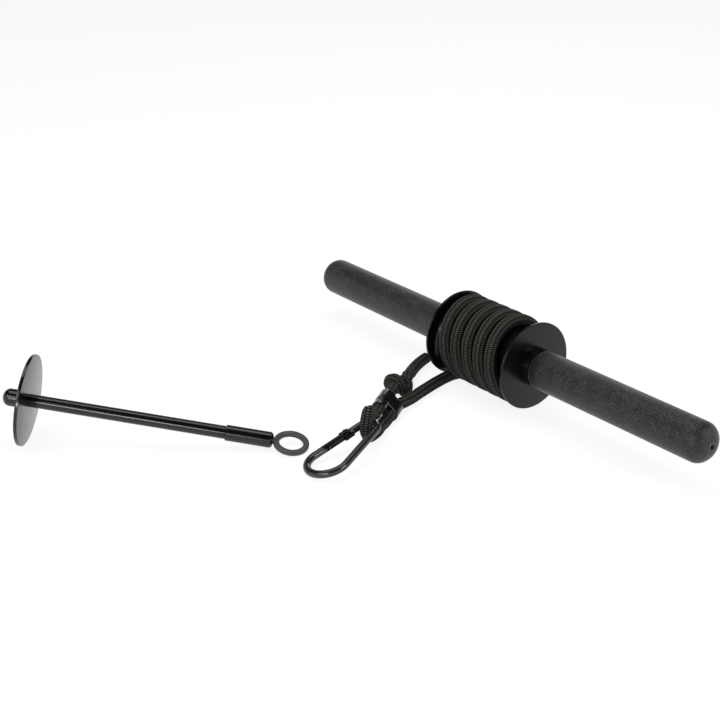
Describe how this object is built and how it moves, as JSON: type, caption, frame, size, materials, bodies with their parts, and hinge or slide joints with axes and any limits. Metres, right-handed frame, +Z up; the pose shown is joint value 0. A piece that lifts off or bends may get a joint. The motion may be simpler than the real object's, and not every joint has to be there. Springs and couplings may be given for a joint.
{
  "type": "wrist roller",
  "caption": "Wrist roller: foam-grip bar with a rope spool, a knotted rope with a snap hook, and a separate weight pin with a plate disc.",
  "frame": {"origin": "on the floor, under the middle of the bar and the weight pin together", "axes": "+X along the bar to its right grip, +Y from the weight pin to the bar, +Z up"},
  "size_m": [0.467, 0.423, 0.075],
  "materials": {
    "foam": "matte foam",
    "spool_plastic": "gloss",
    "black_plastic": "matte",
    "steel_tube": "drawn",
    "rope": "braided polyester",
    "shrink_sleeve": "satin",
    "hook_wire": "black nickel, satin",
    "hook_steel": "satin",
    "pin_finish": "gloss black"
  },
  "bodies": {
    "roller": {"core_tube": "steel_tube", "left_grip": "foam", "right_grip": "foam", "left_tube_plug": "black_plastic", "right_tube_plug": "black_plastic", "left_spool_half": "spool_plastic", "right_spool_half": "spool_plastic", "left_drive_pin": "steel_tube", "right_drive_pin": "steel_tube", "rope_winding": "rope", "rope_lead": "rope", "rope_eye": "rope", "rope_strand": "rope", "rope_tail": "rope", "stopper_knot": "rope", "binding_sleeve": "shrink_sleeve", "strand_wrap": "shrink_sleeve"},
    "snap_hook": {"hook_body": "hook_wire", "gate_rivet": "hook_steel"},
    "hook_gate_body": {"hook_gate": "hook_wire", "gate_latch_pin": "hook_steel", "gate_spring": "hook_steel", "gate_plunger": "hook_steel"},
    "weight_pin": {"pin_disc": "pin_finish", "disc_washer": "pin_finish", "cap_nut": "pin_finish", "pin_shaft": "pin_finish", "eye_coupler": "pin_finish", "eye_ring": "pin_finish"}
  },
  "joints": [
    {"name": "hook_swing", "type": "hinge", "parent": "roller", "child": "snap_hook", "pos_m": [0.0232, 0.016, 0.0177], "axis": [0, 0, 1], "range_deg": [-10, 35]},
    {"name": "gate_hinge", "type": "hinge", "parent": "snap_hook", "child": "hook_gate_body", "pos_m": [0.01494, 0.00252, 0.01346], "axis": [-0.0829, -0.2426, 0.9666], "range_deg": [0, 25], "stiffness_Nm_per_rad": 0.05, "springref_deg": -20.05},
    {"name": "pin_lift", "type": "slide", "parent": "roller", "child": "weight_pin", "axis": [0, 0, 1], "range_m": [0, 0.15]}
  ]
}
